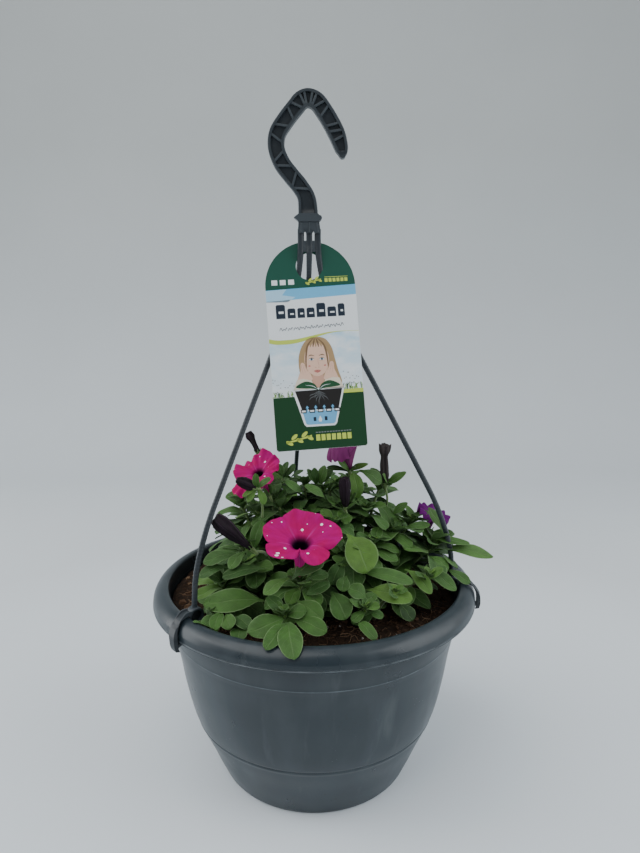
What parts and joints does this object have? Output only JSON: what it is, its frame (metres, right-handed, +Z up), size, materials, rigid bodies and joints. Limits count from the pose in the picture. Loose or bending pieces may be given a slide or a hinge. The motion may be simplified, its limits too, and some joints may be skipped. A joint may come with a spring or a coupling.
{
  "type": "petunia hanging basket",
  "caption": "Self-watering plastic hanging pot with a moulded hook hanger, a plant tag and a flowering petunia that fills it.",
  "frame": {"origin": "centre of the pot's flat base, on the surface it stands on", "axes": "+Z up along the pot's axis; the plant tag faces -Y; +X to its reader's right"},
  "size_m": [0.2829, 0.2833, 0.5739],
  "materials": {
    "pot_plastic": "injection-moulded slate blue-grey polypropylene, semi-gloss",
    "insert_plastic": "black moulded plastic",
    "soil": null,
    "hanger_plastic": "moulded dark slate polypropylene, slightly flexible",
    "printed_card": null,
    "foliage": null,
    "magenta_petal": "velvety magenta petals with white specks",
    "purple_petal": "velvety purple petals",
    "dark_bud": "dark purple rolled petals on green stalks"
  },
  "bodies": {
    "root": {"bud_left": "dark_bud", "bud_middle": "dark_bud", "bud_small": "dark_bud", "bud_top_left": "dark_bud", "flower_back": "purple_petal", "flower_front": "magenta_petal", "flower_left": "magenta_petal", "flower_right": "purple_petal", "hanger_hook": "hanger_plastic", "hanger_strand_back": "hanger_plastic", "hanger_strand_left": "hanger_plastic", "hanger_strand_right": "hanger_plastic", "plant_tag": "printed_card", "pot": "pot_plastic", "reservoir_insert": "insert_plastic", "rim_clip_back": "hanger_plastic", "rim_clip_left": "hanger_plastic", "rim_clip_right": "hanger_plastic", "shoot_01": "foliage", "shoot_02": "foliage", "shoot_03": "foliage", "shoot_04": "foliage", "shoot_05": "foliage", "shoot_06": "foliage", "shoot_07": "foliage", "shoot_08": "foliage", "shoot_09": "foliage", "shoot_10": "foliage", "shoot_11": "foliage", "shoot_12": "foliage", "shoot_13": "foliage", "shoot_14": "foliage", "shoot_15": "foliage", "shoot_16": "foliage", "shoot_17": "foliage", "shoot_18": "foliage", "shoot_19": "foliage", "shoot_20": "foliage", "shoot_21": "foliage", "shoot_22": "foliage", "soil": "soil", "wilted_flower": "dark_bud"}
  },
  "joints": []
}
